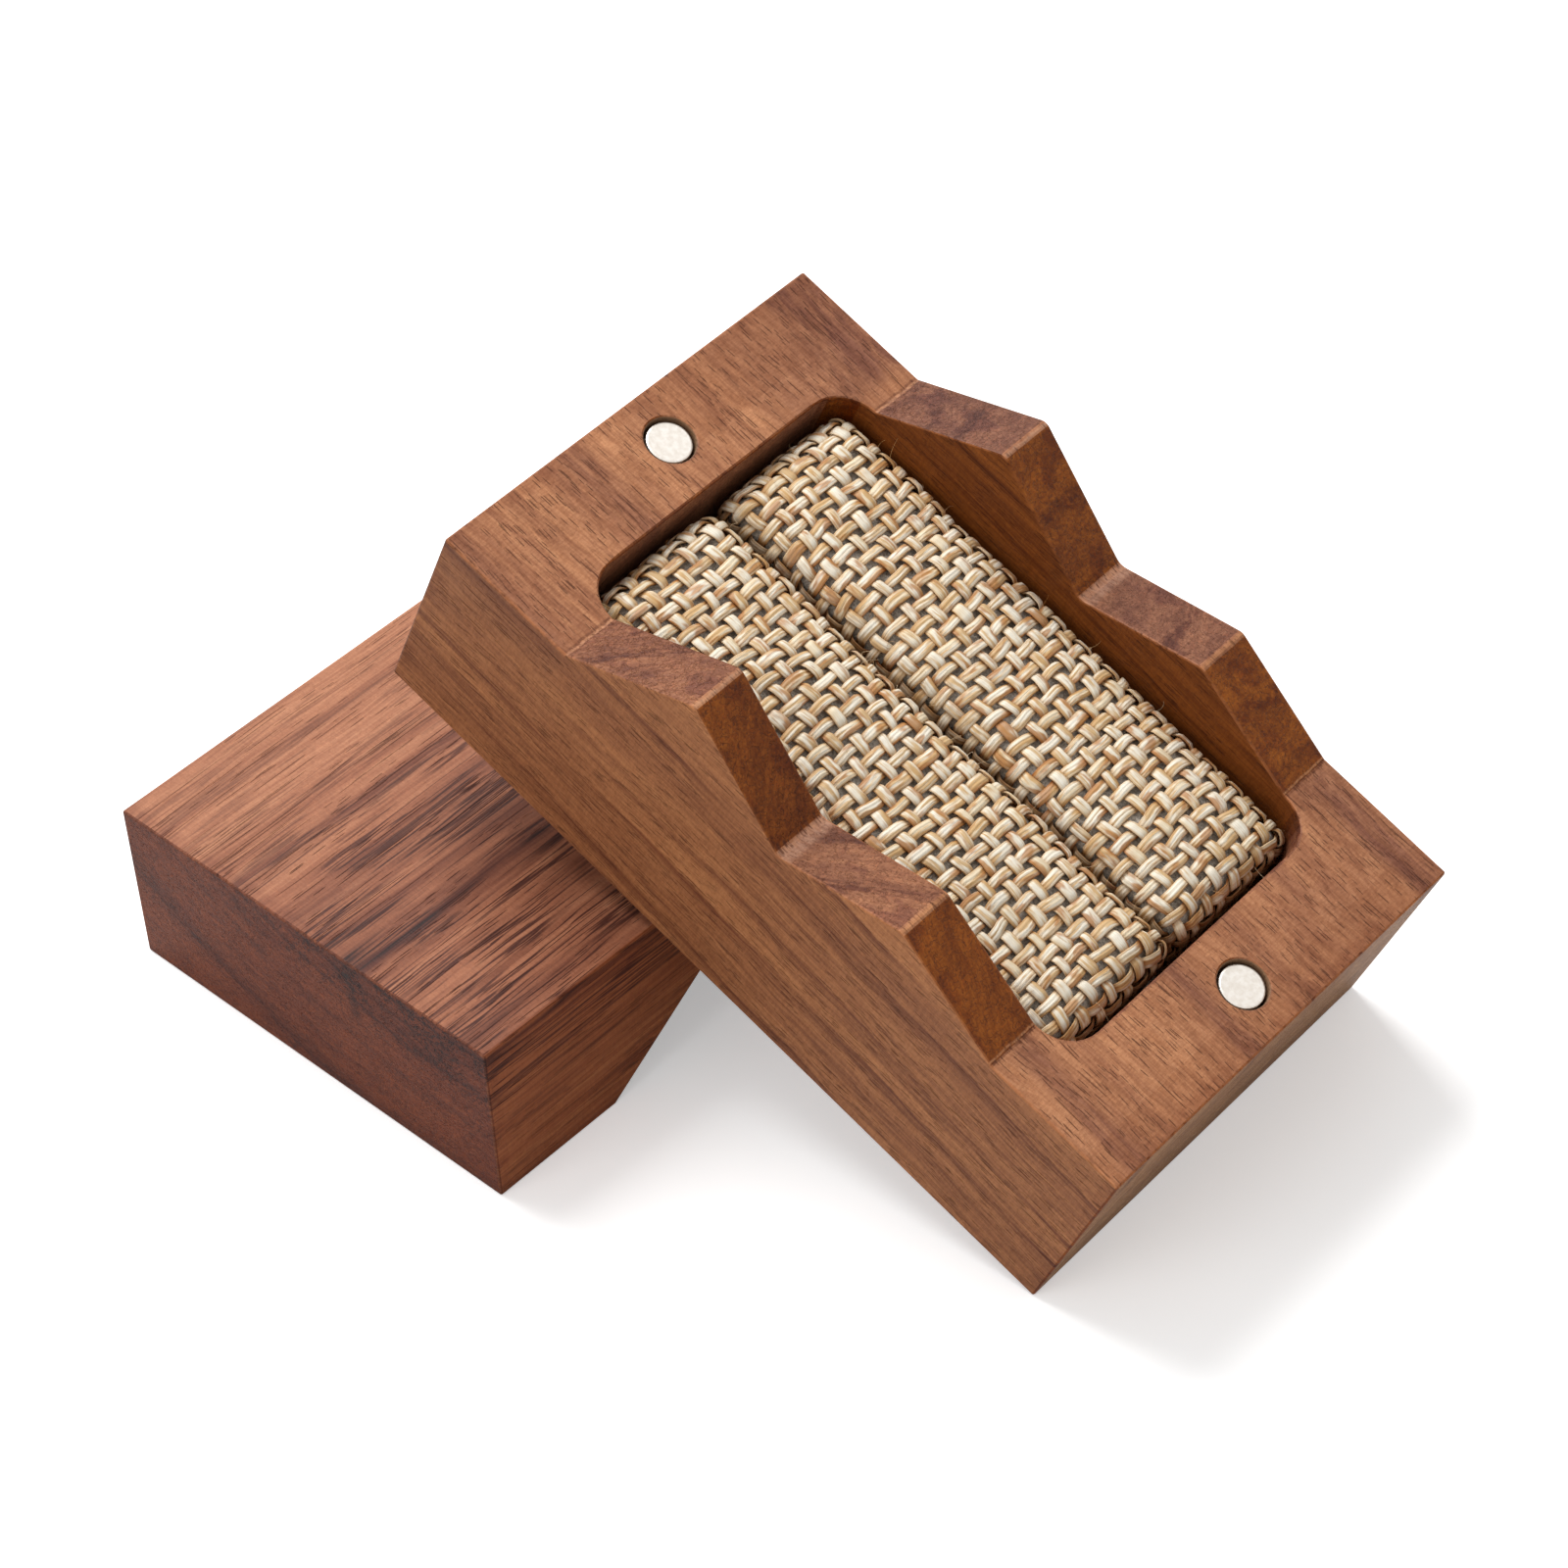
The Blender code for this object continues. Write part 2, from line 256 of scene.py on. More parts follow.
def walnut(name, half, look):
    """Oiled walnut, as a pattern through the whole block in the half's own frame, with painted light and
    shade added by the way each face turns.

    Dark bands follow the growth rings, which are wide circles round a pith line
    outside the block. Each darkens slowly outwards and ends sharply. Pores are thin
    ellipsoids laid along the grain: dashes on long faces and dots on cut ends.
    """
    material, shader, coordinates = start_material(name)
    tree = material.node_tree
    place = in_frame(Wire(tree, coordinates.outputs["Object"]), half)
    normal = Wire(tree, coordinates.outputs["Normal"])
    facing = [normal.vector("DOT_PRODUCT", half.to_3x3().col[axis], "Value") for axis in range(3)]
    straight_x, straight_y, straight_z = place.parts()

    # The grain wanders a little as it runs along the block.
    drift = place.scaled(0.022, 0.05, 0.05).noise(2.0, 0.5, "Color")
    drift = drift.vector("SUBTRACT", (0.5, 0.5, 0.5)).scaled(0.0, *look["drift"])
    ripple_drift = place.scaled(0.10, 0.3, 0.3).noise(2.0, 0.5, "Color")
    ripple_drift = ripple_drift.vector("SUBTRACT", (0.5, 0.5, 0.5)).scaled(0.0, *look["ripple"])
    grain = place.vector("ADD", drift).vector("ADD", ripple_drift)
    x, y, z = grain.parts()
    ring_y = y - look["pith"][0]
    ring_z = z + look["slope"] * x - look["pith"][1]
    radius = (ring_y * ring_y + ring_z * ring_z).math("SQRT")
    angle = ring_y.math("ARCTAN2", ring_z)

    def along_rings(run, across, around):
        """Place along the grain, outwards from the pith and round it, each stretched."""
        values = {0: x * (run * look["run"]), 1: radius * across + look["seed"], 2: angle * around}
        return x.node("CombineXYZ", values)

    # Tone of the rings, and the finer streaks between them
    rings = along_rings(0.012, 0.30, 4.0).noise(4.0, 0.60)
    streaks = along_rings(0.035, 1.5, 30.0).noise(3.0, 0.6)
    threads = along_rings(0.14, 4.5, 90.0).noise(3.0, 0.65)
    fibres = along_rings(0.05, 3.2, 60.0).noise(3.0, 0.7)
    figure = 0.5 + (rings - 0.5) * look["ring_share"] + (streaks - 0.5) * 0.7
    pale = radius.step(*look["pale_from"])
    figure = figure + pale * look["pale_lift"]
    stops = list(zip((0.20, 0.40, 0.56, 0.76), look["tones"]))
    colour = figure.node("ValToRGB", {"Fac": figure}, {"stops": stops})

    # Dark bands, each over its own stretch of the block
    strands = fibres.step(0.60, 0.40)
    at_land = abs(straight_x).step(*LAND_START) * straight_z.step(*LAND_DEPTH)
    for middle, reach, tail, strength, first, last in look["bands"]:
        band = radius.step(middle - reach, middle - 0.15) * radius.step(middle + tail, middle)
        stretch = x.step(first - 14, first) * x.step(last + 14, last)
        share = (0.35 + strands * 0.65) * (1 - at_land * look["land_calm"])
        colour = colour.tint(band * stretch * share * strength, look["band_tint"])

    # Darker stripes that only reach a little way into the block
    wander = place.scaled(0.06, 0.25, 0.25).noise(2.0, 0.5) * 3.2 - 1.6
    for middle, reach, strength, first, last, low, high in look["stripes"]:
        stripe = abs(straight_y + wander - middle).step(reach, reach * 0.2)
        stripe = stripe * straight_x.step(first - 3, first) * straight_x.step(last + 3, last)
        stripe = stripe * straight_z.step(low - 3, low) * straight_z.step(high + 1, high)
        colour = colour.tint(stripe * (0.6 + strands * 0.4) * strength, look["stripe_tint"])
    colour = colour.tint(threads.step(0.60, 0.38) * look["thread"], look["thread_tint"])

    # Long thin dark lines, where the face cuts along rows of vessels
    vessel_rows = along_rings(0.05, 1.10, 76.0).noise(2.0, 0.6)
    broken = place.scaled(0.07, 0.30, 0.30).noise(2.0, 0.5).step(0.38, 0.52)
    veins = abs(vessel_rows - 0.5).step(0.060, 0.010) * broken * (1 - pale * 0.6)
    colour = colour.tint(veins * look["vein"], look["vein_tint"])

    def pores(cell_length, cell_width, half_length, half_width, patch_low, patch_high):
        """Open pores: 1 inside thin ellipsoids, one to each cell of a long Voronoi grid."""
        stretched = grain.scaled(1 / cell_length, 1 / cell_width, 1 / cell_width)
        nearest = stretched.node("TexVoronoi", {"Vector": stretched, "Scale": 1.0}, output="Position")
        offset = stretched.vector("SUBTRACT", nearest)
        slimness = cell_width / half_width
        distance = offset.scaled(cell_length / half_length, slimness, slimness)
        distance = distance.vector("LENGTH", (0, 0, 0), "Value")
        patches = nearest.scaled(0.35, 0.16, 0.16).noise(1.0)
        return distance.step(1.0, 0.75) * patches.step(patch_low, patch_high)

    # Slopes of the zigzag face a low or a tall end, but not squarely.
    to_low = facing[0]
    to_tall = 0 - facing[0]
    slope = abs(to_low).step(*ON_SLOPE) * abs(to_low).step(*OFF_SLOPE)
    low_slope = to_low.step(*ON_SLOPE) * slope
    tall_slope = to_tall.step(*ON_SLOPE) * slope
    hollow = pores(*look["pores"]).math("MAXIMUM", pores(*look["lines"]))
    hollow = hollow * (1 - pale * look["pale_fill"]) * (1 - slope * 0.65)
    colour = (hollow * look["pore_depth"]).choose(colour, look["pore_tone"])

    # Faces cut across the grain are darker, with speckles. Short curly tear marks run over the faces: the
    # dark curls are tears with painted shade under them, and the pale curls are painted highlights on their
    # edges.
    speckle = place.scaled(1.5, 3.2, 3.2).noise(4.0, 0.7)
    cut_end = abs(to_low).step(0.20, 0.50)
    tears = place.scaled(1.2, 0.9, 1.0).noise(2.0, 0.65)
    curls = abs(tears - 0.5).step(0.042, 0.012) * speckle.step(0.44, 0.56)
    curl_highlights = abs(tears - 0.58).step(0.036, 0.010) * speckle.step(0.56, 0.44)
    blotches = place.scaled(0.14, 0.20, 0.14).noise(3.0, 0.6).step(0.52, 0.62)
    colour = colour.tint(cut_end * speckle.step(0.62, 0.38) * 0.6, look["speckle_tint"])

    # Each way that a face turns gets its own tint. Cut ends are darker, as end grain is, and the base's low
    # end also has a painted sheen on it.
    # The other tints are painted light: painted sheen on the lands, painted shade on the pocket's inner
    # sides, and lit and shaded tones painted on the two slopes, on the slopes by the far wall and on the
    # outer sides.
    outer_end = abs(straight_x).step(*OUTER_END)
    far_wall = straight_y.step(*FAR_WALL)
    pocket_side = abs(facing[1]).step(*ON_SIDE) * abs(straight_y).step(*POCKET_SIDE)
    for share, tone in (
        (low_slope, look["low_slope_light_tint"]),
        (tall_slope, look["tall_slope_light_tint"]),
        (to_low.step(*ON_END) * outer_end, look["low_end_tone_and_sheen"]),
        (to_tall.step(*ON_END) * outer_end, look["tall_end_tint"]),
        ((0 - facing[1]).step(*ON_SIDE), look["near_side_light_tint"]),
        (facing[1].step(*ON_SIDE), look["far_side_light_tint"]),
        (facing[2].step(*ON_LAND), look["land_sheen_tint"]),
        (blotches * slope * 0.7, look["blotch_tint"]),
        (low_slope * far_wall, (1.16, 1.22, 1.12, 1.0)),
        (tall_slope * far_wall, paint(232, 234, 248)),
        (pocket_side, look["inner_shade_tint"]),
        # Dark curls: tear marks with painted shade under them; pale curls: painted highlights on their
        # edges.
        (curls * (0.22 + low_slope * 0.40), look["tear_and_shade_tint"]),
        (curl_highlights * (0.30 + slope * 0.45), (1.42, 1.36, 1.28, 1.0)),
    ):
        colour = colour.tint(share, tone)
    saw_lines = place.scaled(0.2, 0.05, 1.6).noise(3.0, 0.6)
    colour = colour.tint(saw_lines.step(0.58, 0.42) * outer_end * 0.35, look["speckle_tint"])
    flecks = place.scaled(4.0, 0.9, 0.9).noise(3.0, 0.6)
    colour = colour.tint(flecks.step(0.60, 0.40) * look["fleck_share"], paint(214, 202, 196))

    # Lines run across the block where the milled faces meet. The pale lines on the two ridges and the pale
    # band in the valley are painted highlights.
    # At each land's edge, a dark line and a light line side by side are the cutter's step, drawn as painted
    # shade and a painted highlight. The dark ticks are cutter marks.
    wobble = place.scaled(0.3, 0.5, 0.5).noise(2.0, 0.5) * 0.4 - 0.2
    ticks = place.scaled(0.5, 2.6, 0.5).noise(2.0, 0.6)
    milled = abs(facing[1]).step(0.60, 0.40) * facing[2].step(0.30, 0.50)
    for first, last, tone, strength, grip in look["marks"]:
        across = straight_x + wobble
        mark = across.step(first - 0.12, first + 0.06) * across.step(last + grip, last - 0.06)
        mark = mark * (0.45 + ticks.step(0.40, 0.60) * 0.55) * milled
        colour = (mark * strength).choose(colour, tone)
    for middle, reach, strength in look["tick_rows"]:
        row = abs(straight_x - middle).step(reach, reach * 0.4) * ticks.step(0.56, 0.63) * milled
        colour = (row * strength).choose(colour, look["tick_tone"])
    for place_x, side_sign, from_y in look["steps"]:
        beyond = ((straight_x + wobble * 0.4) * side_sign).step(place_x, place_x + 0.15)
        beyond = beyond * straight_y.step(from_y - 1.0, from_y) * facing[2].step(0.95, 0.99)
        colour = colour.tint(beyond * 0.5, paint(226, 216, 210))

    # Outer edges are paler here and there: partly rubbed wood and partly a painted highlight along the
    # edge.
    rub = place.noise(3.0, 0.6).step(0.32, 0.54)
    corner = abs(facing[1] * facing[2]).step(*ON_EDGE) * straight_z.step(-6.0, -4.0)
    end_corner = abs(facing[0] * facing[2]).step(*ON_EDGE) * abs(straight_x).step(44.5, 45.0)
    edge_wear_and_highlight = corner.math("MAXIMUM", end_corner) * rub
    colour = (edge_wear_and_highlight * look["edge_wear_and_highlight_share"]).choose(colour, look["edge_wear_and_highlight"])

    # The walls of the thin gaps round the magnets are painted one grey brown.
    from_magnet = abs(straight_x) - MAGNET_DISTANCE
    gap_wall_tone = (from_magnet * from_magnet + straight_y * straight_y).step(*GAP_RING_SQUARED)
    gap_wall_tone = gap_wall_tone * abs(straight_z).step(*GAP_DEPTH)
    colour = (gap_wall_tone * 0.8).choose(colour, paint(124, 98, 74))

    roughness = 0.46 + hollow * 0.25 + threads * 0.08
    height = threads * 0.30 + flecks * 0.25 + (speckle * 0.3 - curls * 0.5) * cut_end - hollow
    bump = height.node("Bump", {"Height": height, "Strength": 0.8, "Distance": 0.00015})
    feed(shader, Base_Color=colour, Roughness=roughness, Normal=bump)
    shader.inputs["Specular IOR Level"].default_value = 0.16
    return material


base_frame = half_frame("base", -1)
lid_frame = half_frame("lid", 1)

# In each look, millimetres are in the half's own frame, and tints multiply the wood's tone.
# seed: where in the noise the figure starts; run: how fast it changes along the grain
# drift, ripple: how far the grain wanders across and up, slowly and quickly
# slope: how much the rings climb along the block; pith: their middle, across and up
# tones: colours of the figure from dark to pale; ring_share: how much of it the rings give
# pale_from, pale_lift: ring radii between which the wood turns pale, and by how much
# bands: ring radius, reach inwards, tail outwards, strength, first and last place along
# land_calm: how far the bands fade on the end lands
# stripes: place across, reach, strength, first and last place along, lowest and highest
# vein, thread: strength of the long dark lines, and of the fine dark streaks
# pores, lines: cell length and width, half length and width, and where patches start
# pale_fill, pore_depth: how far pale wood hides the pores, and how dark they are
# marks: first and last place along, tone, strength, softness of the second edge
# tick_rows: place along, reach, strength; steps: place along, its end's sign, first across
# edge_wear_and_highlight, edge_wear_and_highlight_share: colour of the paler outer edges, partly rubbed
# wood and partly painted highlight, and how much of it shows
BASE_LOOK = {
    "seed": 3.7,
    "drift": (3.0, 3.0),
    "ripple": (1.0, 1.0),
    "run": 1.0,
    "slope": 0.055,
    "pith": (22.0, -64.0),
    "tones": (paint(128, 82, 60), paint(154, 103, 75), paint(172, 119, 86), paint(188, 132, 95)),
    "ring_share": 0.6,
    "pale_from": (80.0, 90.0),
    "pale_lift": 0.22,
    "bands": (
        (69.2, 1.3, 0.35, 0.9, -60.0, 60.0),
        (72.5, 0.9, 0.35, 0.8, 2.0, 60.0),
        (78.8, 1.6, 0.35, 0.8, 4.0, 60.0),
        (63.6, 1.6, 0.35, 0.7, -60.0, 12.0),
        (66.7, 0.5, 0.35, 0.4, 30.0, 60.0),
        (80.6, 1.6, 0.35, 0.9, -24.0, -16.0),
        (83.2, 1.5, 0.35, 0.9, 4.0, 10.0),
    ),
    "band_tint": paint(166, 140, 142),
    "land_calm": 0.8,
    "stripes": (
        (25.5, 7.5, 1.0, -60.0, -33.0, -4.0, 0.3),
        (17.0, 9.0, 0.45, -60.0, -33.0, -4.0, 0.3),
        (-9.3, 2.6, 0.7, -60.0, -31.0, -4.0, 0.3),
        (-27.0, 2.0, 0.4, -60.0, -31.0, -4.0, 0.3),
        (24.8, 3.2, 1.0, 31.0, 60.0, -4.0, 0.3),
        (12.6, 1.5, 0.30, 31.0, 60.0, -4.0, 0.3),
        (4.4, 1.2, 0.3, 31.0, 60.0, -4.0, 0.3),
        (-4.6, 1.9, 0.8, 31.0, 60.0, -4.0, 0.3),
        (-23.4, 2.2, 0.85, 31.0, 60.0, -4.0, 0.3),
    ),
    "stripe_tint": paint(190, 180, 196),
    "vein": 0.25,
    "vein_tint": paint(150, 120, 110),
    "thread": 0.50,
    "thread_tint": paint(208, 192, 182),
    "pores": (2.2, 0.28, 0.95, 0.060, 0.35, 0.48),
    "lines": (5.2, 0.62, 2.2, 0.074, 0.43, 0.54),
    "pale_fill": 0.2,
    "pore_depth": 0.70,
    "pore_tone": paint(76, 42, 28),
    "fleck_share": 0.4,
    # The land, slope, end, side and inner tints paint light by the way each face turns: painted sheen, lit
    # and shaded tones and painted shade, on top of the end grain's darker tone.
    "land_sheen_tint": (1.21, 1.23, 1.21, 1.0),
    "speckle_tint": paint(196, 168, 158),
    "low_slope_light_tint": paint(222, 182, 98),
    "tall_slope_light_tint": paint(228, 222, 220),
    "low_end_tone_and_sheen": (1.19, 1.55, 1.52, 1.0),
    "tall_end_tint": paint(222, 214, 204),
    "near_side_light_tint": paint(237, 227, 202),
    "far_side_light_tint": paint(237, 227, 202),
    "inner_shade_tint": paint(218, 190, 136),
    "tear_and_shade_tint": paint(160, 134, 116),
    "blotch_tint": paint(190, 166, 180),
    # Pale marks paint highlights on the ridges, the valley and the land edges; the dark ones at the land
    # edges paint the shade of the cutter's step.
    "marks": (
        (-29.40, -29.15, paint(92, 52, 36), 0.65, 0.06),
        (-29.10, -28.80, paint(210, 152, 112), 0.45, 0.06),
        (-14.70, -14.45, paint(196, 162, 138), 0.32, 0.30),
        (-0.10, 1.10, paint(198, 152, 126), 0.50, 0.80),
        (14.40, 14.75, paint(196, 138, 92), 0.36, 0.35),
        (28.80, 28.98, paint(204, 144, 102), 0.60, 0.06),
        (29.06, 29.34, paint(96, 52, 30), 0.85, 0.06),
    ),
    "tick_rows": ((-0.2, 0.9, 0.8), (-14.1, 0.9, 0.6), (14.6, 0.8, 0.5), (29.2, 0.5, 0.6)),
    "tick_tone": paint(84, 44, 26),
    "steps": ((37.9, -1.0, 2.0), (41.6, 1.0, -30.0)),
    "edge_wear_and_highlight": paint(198, 126, 80),
    "edge_wear_and_highlight_share": 0.70,
}
LID_LOOK = {
    "seed": 11.2,
    "drift": (1.6, 1.6),
    "ripple": (0.35, 0.35),
    "run": 0.5,
    "slope": -0.01,
    "pith": (-22.0, 90.0),
    "tones": (paint(84, 44, 30), paint(120, 70, 49), paint(156, 100, 72), paint(180, 124, 92)),
    "ring_share": 0.6,
    "pale_from": (71.5, 80.0),
    "pale_lift": 0.20,
    "bands": (
        (69.95, 0.45, 0.60, 1.0, -60.0, 60.0),
        (72.4, 0.6, 0.35, 0.6, -60.0, -20.0),
        (75.6, 0.9, 0.35, 0.8, -60.0, 60.0),
        (81.4, 0.9, 0.35, 0.4, -60.0, 60.0),
        (90.9, 3.6, 0.35, 0.9, -60.0, 60.0),
    ),
    "band_tint": paint(160, 134, 136),
    "land_calm": 0.0,
    "stripes": ((-7.3, 1.2, 0.9, -60.0, -45.4, 14.0, 30.0),),
    "stripe_tint": paint(160, 150, 164),
    "vein": 0.95,
    "vein_tint": paint(116, 82, 76),
    "thread": 0.45,
    "thread_tint": paint(200, 176, 166),
    "pores": (3.0, 0.36, 1.2, 0.070, 0.46, 0.58),
    "lines": (20.0, 0.42, 8.6, 0.072, 0.34, 0.48),
    "pale_fill": 0.35,
    "pore_depth": 0.80,
    "pore_tone": paint(54, 26, 20),
    "fleck_share": 0.25,
    # The land, slope, end, side and inner tints paint light by the way each face turns: painted sheen, lit
    # and shaded tones and painted shade, on top of the end grain's darker tone.
    "land_sheen_tint": (1.0, 1.0, 1.0, 1.0),
    "speckle_tint": paint(200, 176, 170),
    "low_slope_light_tint": paint(196, 180, 162),
    "tall_slope_light_tint": paint(196, 180, 162),
    "low_end_tone_and_sheen": paint(168, 133, 104),
    "tall_end_tint": paint(177, 133, 97),
    "near_side_light_tint": paint(237, 211, 176),
    "far_side_light_tint": paint(226, 222, 214),
    "inner_shade_tint": paint(238, 228, 226),
    "tear_and_shade_tint": paint(182, 156, 142),
    "blotch_tint": paint(196, 180, 184),
    "marks": (),
    "tick_rows": (),
    "steps": (),
    "edge_wear_and_highlight": paint(158, 90, 62),
    "edge_wear_and_highlight_share": 0.40,
}
for node, half, look in (("base_half", base_frame, BASE_LOOK), ("lid_half", lid_frame, LID_LOOK)):
    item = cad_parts[node]
    item.data.materials.clear()
    item.data.materials.append(walnut(f"walnut_{node}", half, look))


# Magnets
# Four plated discs glued into blind holes in the end lands, a little below the wood.
# The plating is pale and satin, faintly mottled, and bright on its rolled rim.
def plating():
    """Satin plating with a faint mottle and a fine grit."""
    material, shader, coordinates = start_material("nickel_plating")
    place = Wire(material.node_tree, coordinates.outputs["Object"]).scaled(1000.0, 1000.0, 1000.0)
    mottle = place.scaled(1.6, 1.6, 1.6).noise(3.0, 0.6)
    grit = place.scaled(9.0, 9.0, 9.0).noise(2.0, 0.5)
    colour = mottle.step(0.30, 0.70).choose(paint(228, 219, 208), paint(240, 234, 226))
    bump = grit.node("Bump", {"Height": grit + mottle, "Strength": 0.08, "Distance": 0.00004})
    feed(shader, Base_Color=colour, Roughness=0.30 + mottle * 0.20, Normal=bump)
    shader.inputs["Metallic"].default_value = 0.85
    return material


plating_material = plating()
for half in ("base", "lid"):
    for end in ("tall_end", "low_end"):
        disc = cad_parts[f"{half}_magnet_{end}"]
        disc.data.materials.clear()
        disc.data.materials.append(plating_material)


# Foam cores
# Each pad is a block of grey open foam with round edges, which the cloth presses
# into its pocket. The cloth's own pull gives both their shape, so it comes first.
CLOTH_HALF_THICKNESS = 0.50
EDGE_ROUNDING = 2.8
CORNER_SQUARENESS = 4.0
CLOTH_REACH = 16.0
CLOTH_GRID = 1.0
CLOTH_BORDER = 1.3
CROWN = 0.5
FOAM_GAP = 0.50
SKIN_UNEVENNESS = (0.12, 0.16, 0.20)
SIMULATION_SCALE = 0.01
SIMULATION_FRAMES = 20


def ripple(rng, s, t, size, reach):
    """Smooth uneven shift over the cloth: a sum of slow sine waves in random directions."""
    total = 0.0
    for _ in range(6):
        wave = reach * rng.uniform(0.6, 1.8)
        heading, phase = rng.uniform(0, 2 * math.pi, 2)
        total = total + np.sin(2 * math.pi * (s * math.cos(heading) + t * math.sin(heading)) / wave + phase)
    return size * total / 3.0


class Pad:
    """One pad in the base's own frame, in millimetres: its size and its cloth skin."""

    def __init__(self, side, seed):
        self.side = side
        self.seed = seed
        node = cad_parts[f"pad_cover_{side}"]
        places = np.empty(len(node.data.vertices) * 3, np.float32)
        node.data.vertices.foreach_get("co", places)
        to_base = np.array(base_frame.inverted())
        local = places.reshape(-1, 3) @ to_base[:3, :3].T + to_base[:3, 3]
        low, high = local.min(0) / MILLIMETRE, local.max(0) / MILLIMETRE
        self.centre = (low + high) / 2
        self.flat_x = (high[0] - low[0]) / 2 - CLOTH_HALF_THICKNESS - EDGE_ROUNDING
        self.flat_y = (high[1] - low[1]) / 2 - CLOTH_HALF_THICKNESS - EDGE_ROUNDING
        self.top = high[2] - CLOTH_HALF_THICKNESS - CROWN
        self.side_drop = self.top - low[2] - CLOTH_HALF_THICKNESS - 2 * EDGE_ROUNDING
        self.reach_s = self.flat_x + CLOTH_REACH
        self.reach_t = self.flat_y + CLOTH_REACH

    def drape(self, s, t):
        """Lays the flat cloth on the block.

        A point beyond the block's flat top goes on from the nearest point of that
        top, in the same direction, by its distance from it: over the quarter round
        of the edge, down the straight side and round the lower edge.
        """
        near_s = np.clip(s, -self.flat_x, self.flat_x)
        near_t = np.clip(t, -self.flat_y, self.flat_y)
        away_s, away_t = s - near_s, t - near_t
        distance = np.hypot(away_s, away_t)
        quarter = EDGE_ROUNDING * math.pi / 2
        upper = np.minimum(distance, quarter) / EDGE_ROUNDING
        straight = np.clip(distance - quarter, 0, self.side_drop)
        lower = np.clip(distance - quarter - self.side_drop, 0, quarter) / EDGE_ROUNDING
        under = np.maximum(distance - 2 * quarter - self.side_drop, 0)
        outward = EDGE_ROUNDING * (np.sin(upper) + np.cos(lower) - 1) - under
        drop = EDGE_ROUNDING * (1 - np.cos(upper) + np.sin(lower)) + straight
        share = outward / np.maximum(distance, 1e-9)
        heading = np.abs(np.stack([away_s, away_t])) / np.maximum(distance, 1e-9)
        evenness = np.sum(heading ** CORNER_SQUARENESS, 0)
        share = share * np.where(distance > 0, evenness, 1.0) ** (-1 / CORNER_SQUARENESS)
        x = self.centre[0] + near_s + away_s * share
        y = self.centre[1] + near_t + away_t * share
        return np.stack([x, y, self.top - drop], -1)

    def grid(self):
        """Even lines across the flat cloth, both ways."""
        lines_s = np.linspace(-self.reach_s, self.reach_s, round(2 * self.reach_s / CLOTH_GRID) + 1)
        lines_t = np.linspace(-self.reach_t, self.reach_t, round(2 * self.reach_t / CLOTH_GRID) + 1)
        return lines_s, lines_t

    def settle(self):
        """Finds the skin: the draped cloth, blown up by the foam's push where it is free."""
        lines_s, lines_t = self.grid()
        s, t = np.meshgrid(lines_s, lines_t, indexing="ij")
        draped = self.drape(s, t)
        arch_s = np.clip(1 - (s / (self.flat_x + EDGE_ROUNDING)) ** 2, 0, None)
        arch_t = np.clip(1 - (t / (self.flat_y + EDGE_ROUNDING)) ** 2, 0, None)
        swell = np.stack([0 * s, 0 * s, CROWN * arch_s * arch_t], -1)
        swell = self.simulate(draped, s, t)
        unevenness = np.random.default_rng(self.seed)
        lumps = [ripple(unevenness, s, t, size, 13.0) for size in SKIN_UNEVENNESS]
        self.skin = draped + swell + np.stack(lumps, -1)
        return self.skin

    def simulate(self, draped, s, t):
        """Blows up the cloth with Blender's Cloth and returns how far each point moved."""
        rows, columns = draped.shape[:2]
        mesh = grid_mesh("settling_cloth", draped * SIMULATION_SCALE)
        cloth = add_object("settling_cloth", mesh)
        away = np.hypot(s - np.clip(s, -self.flat_x, self.flat_x),
                        t - np.clip(t, -self.flat_y, self.flat_y))
        hold = cloth.vertex_groups.new(name="hold")
        for index in np.flatnonzero(away.ravel() > EDGE_ROUNDING * math.pi / 2):
            hold.add([int(index)], 1.0, "REPLACE")
        settling = cloth.modifiers.new("settling", "CLOTH")
        settling.settings.vertex_group_mass = "hold"
        settling.settings.use_pressure = True
        settling.settings.uniform_pressure_force = 4.0
        settling.settings.effector_weights.gravity = 0.0
        settling.settings.tension_stiffness = 25.0
        settling.settings.compression_stiffness = 25.0
        settling.settings.bending_stiffness = 1.5
        scene = bpy.context.scene
        for number in range(1, SIMULATION_FRAMES + 1):
            scene.frame_set(number)
        settled = cloth.evaluated_get(bpy.context.evaluated_depsgraph_get())
        moved = np.empty(rows * columns * 3, np.float32)
        settled.data.vertices.foreach_get("co", moved)
        bpy.data.objects.remove(cloth)
        scene.frame_set(1)
        swell = moved.reshape(rows, columns, 3) / SIMULATION_SCALE - draped
        return swell * CROWN / max(swell[..., 2].max(), 1e-6)

    def point(self, s, t):
        """The skin at any place of the cloth, as a uniform cubic spline through its grid."""
        rows, columns = self.skin.shape[:2]
        row = (s + self.reach_s) / (2 * self.reach_s) * (rows - 1)
        column = (t + self.reach_t) / (2 * self.reach_t) * (columns - 1)
        first_row, row_weights = spline_weights(row, rows)
        first_column, column_weights = spline_weights(column, columns)
        found = 0.0
        for down in range(4):
            for right in range(4):
                weight = row_weights[down] * column_weights[right]
                found = found + weight[..., None] * self.skin[first_row + down, first_column + right]
        return found


def spline_weights(place, count):
    """First of the four grid lines round a place, and the cubic spline's weight of each."""
    place = np.clip(place, 1, count - 2 - 1e-6)
    whole = np.floor(place).astype(int)
    part = place - whole
    weights = (
        (1 - part) ** 3 / 6,
        (3 * part ** 3 - 6 * part ** 2 + 4) / 6,
        (-3 * part ** 3 + 3 * part ** 2 + 3 * part + 1) / 6,
        part ** 3 / 6,
    )
    return whole - 1, weights


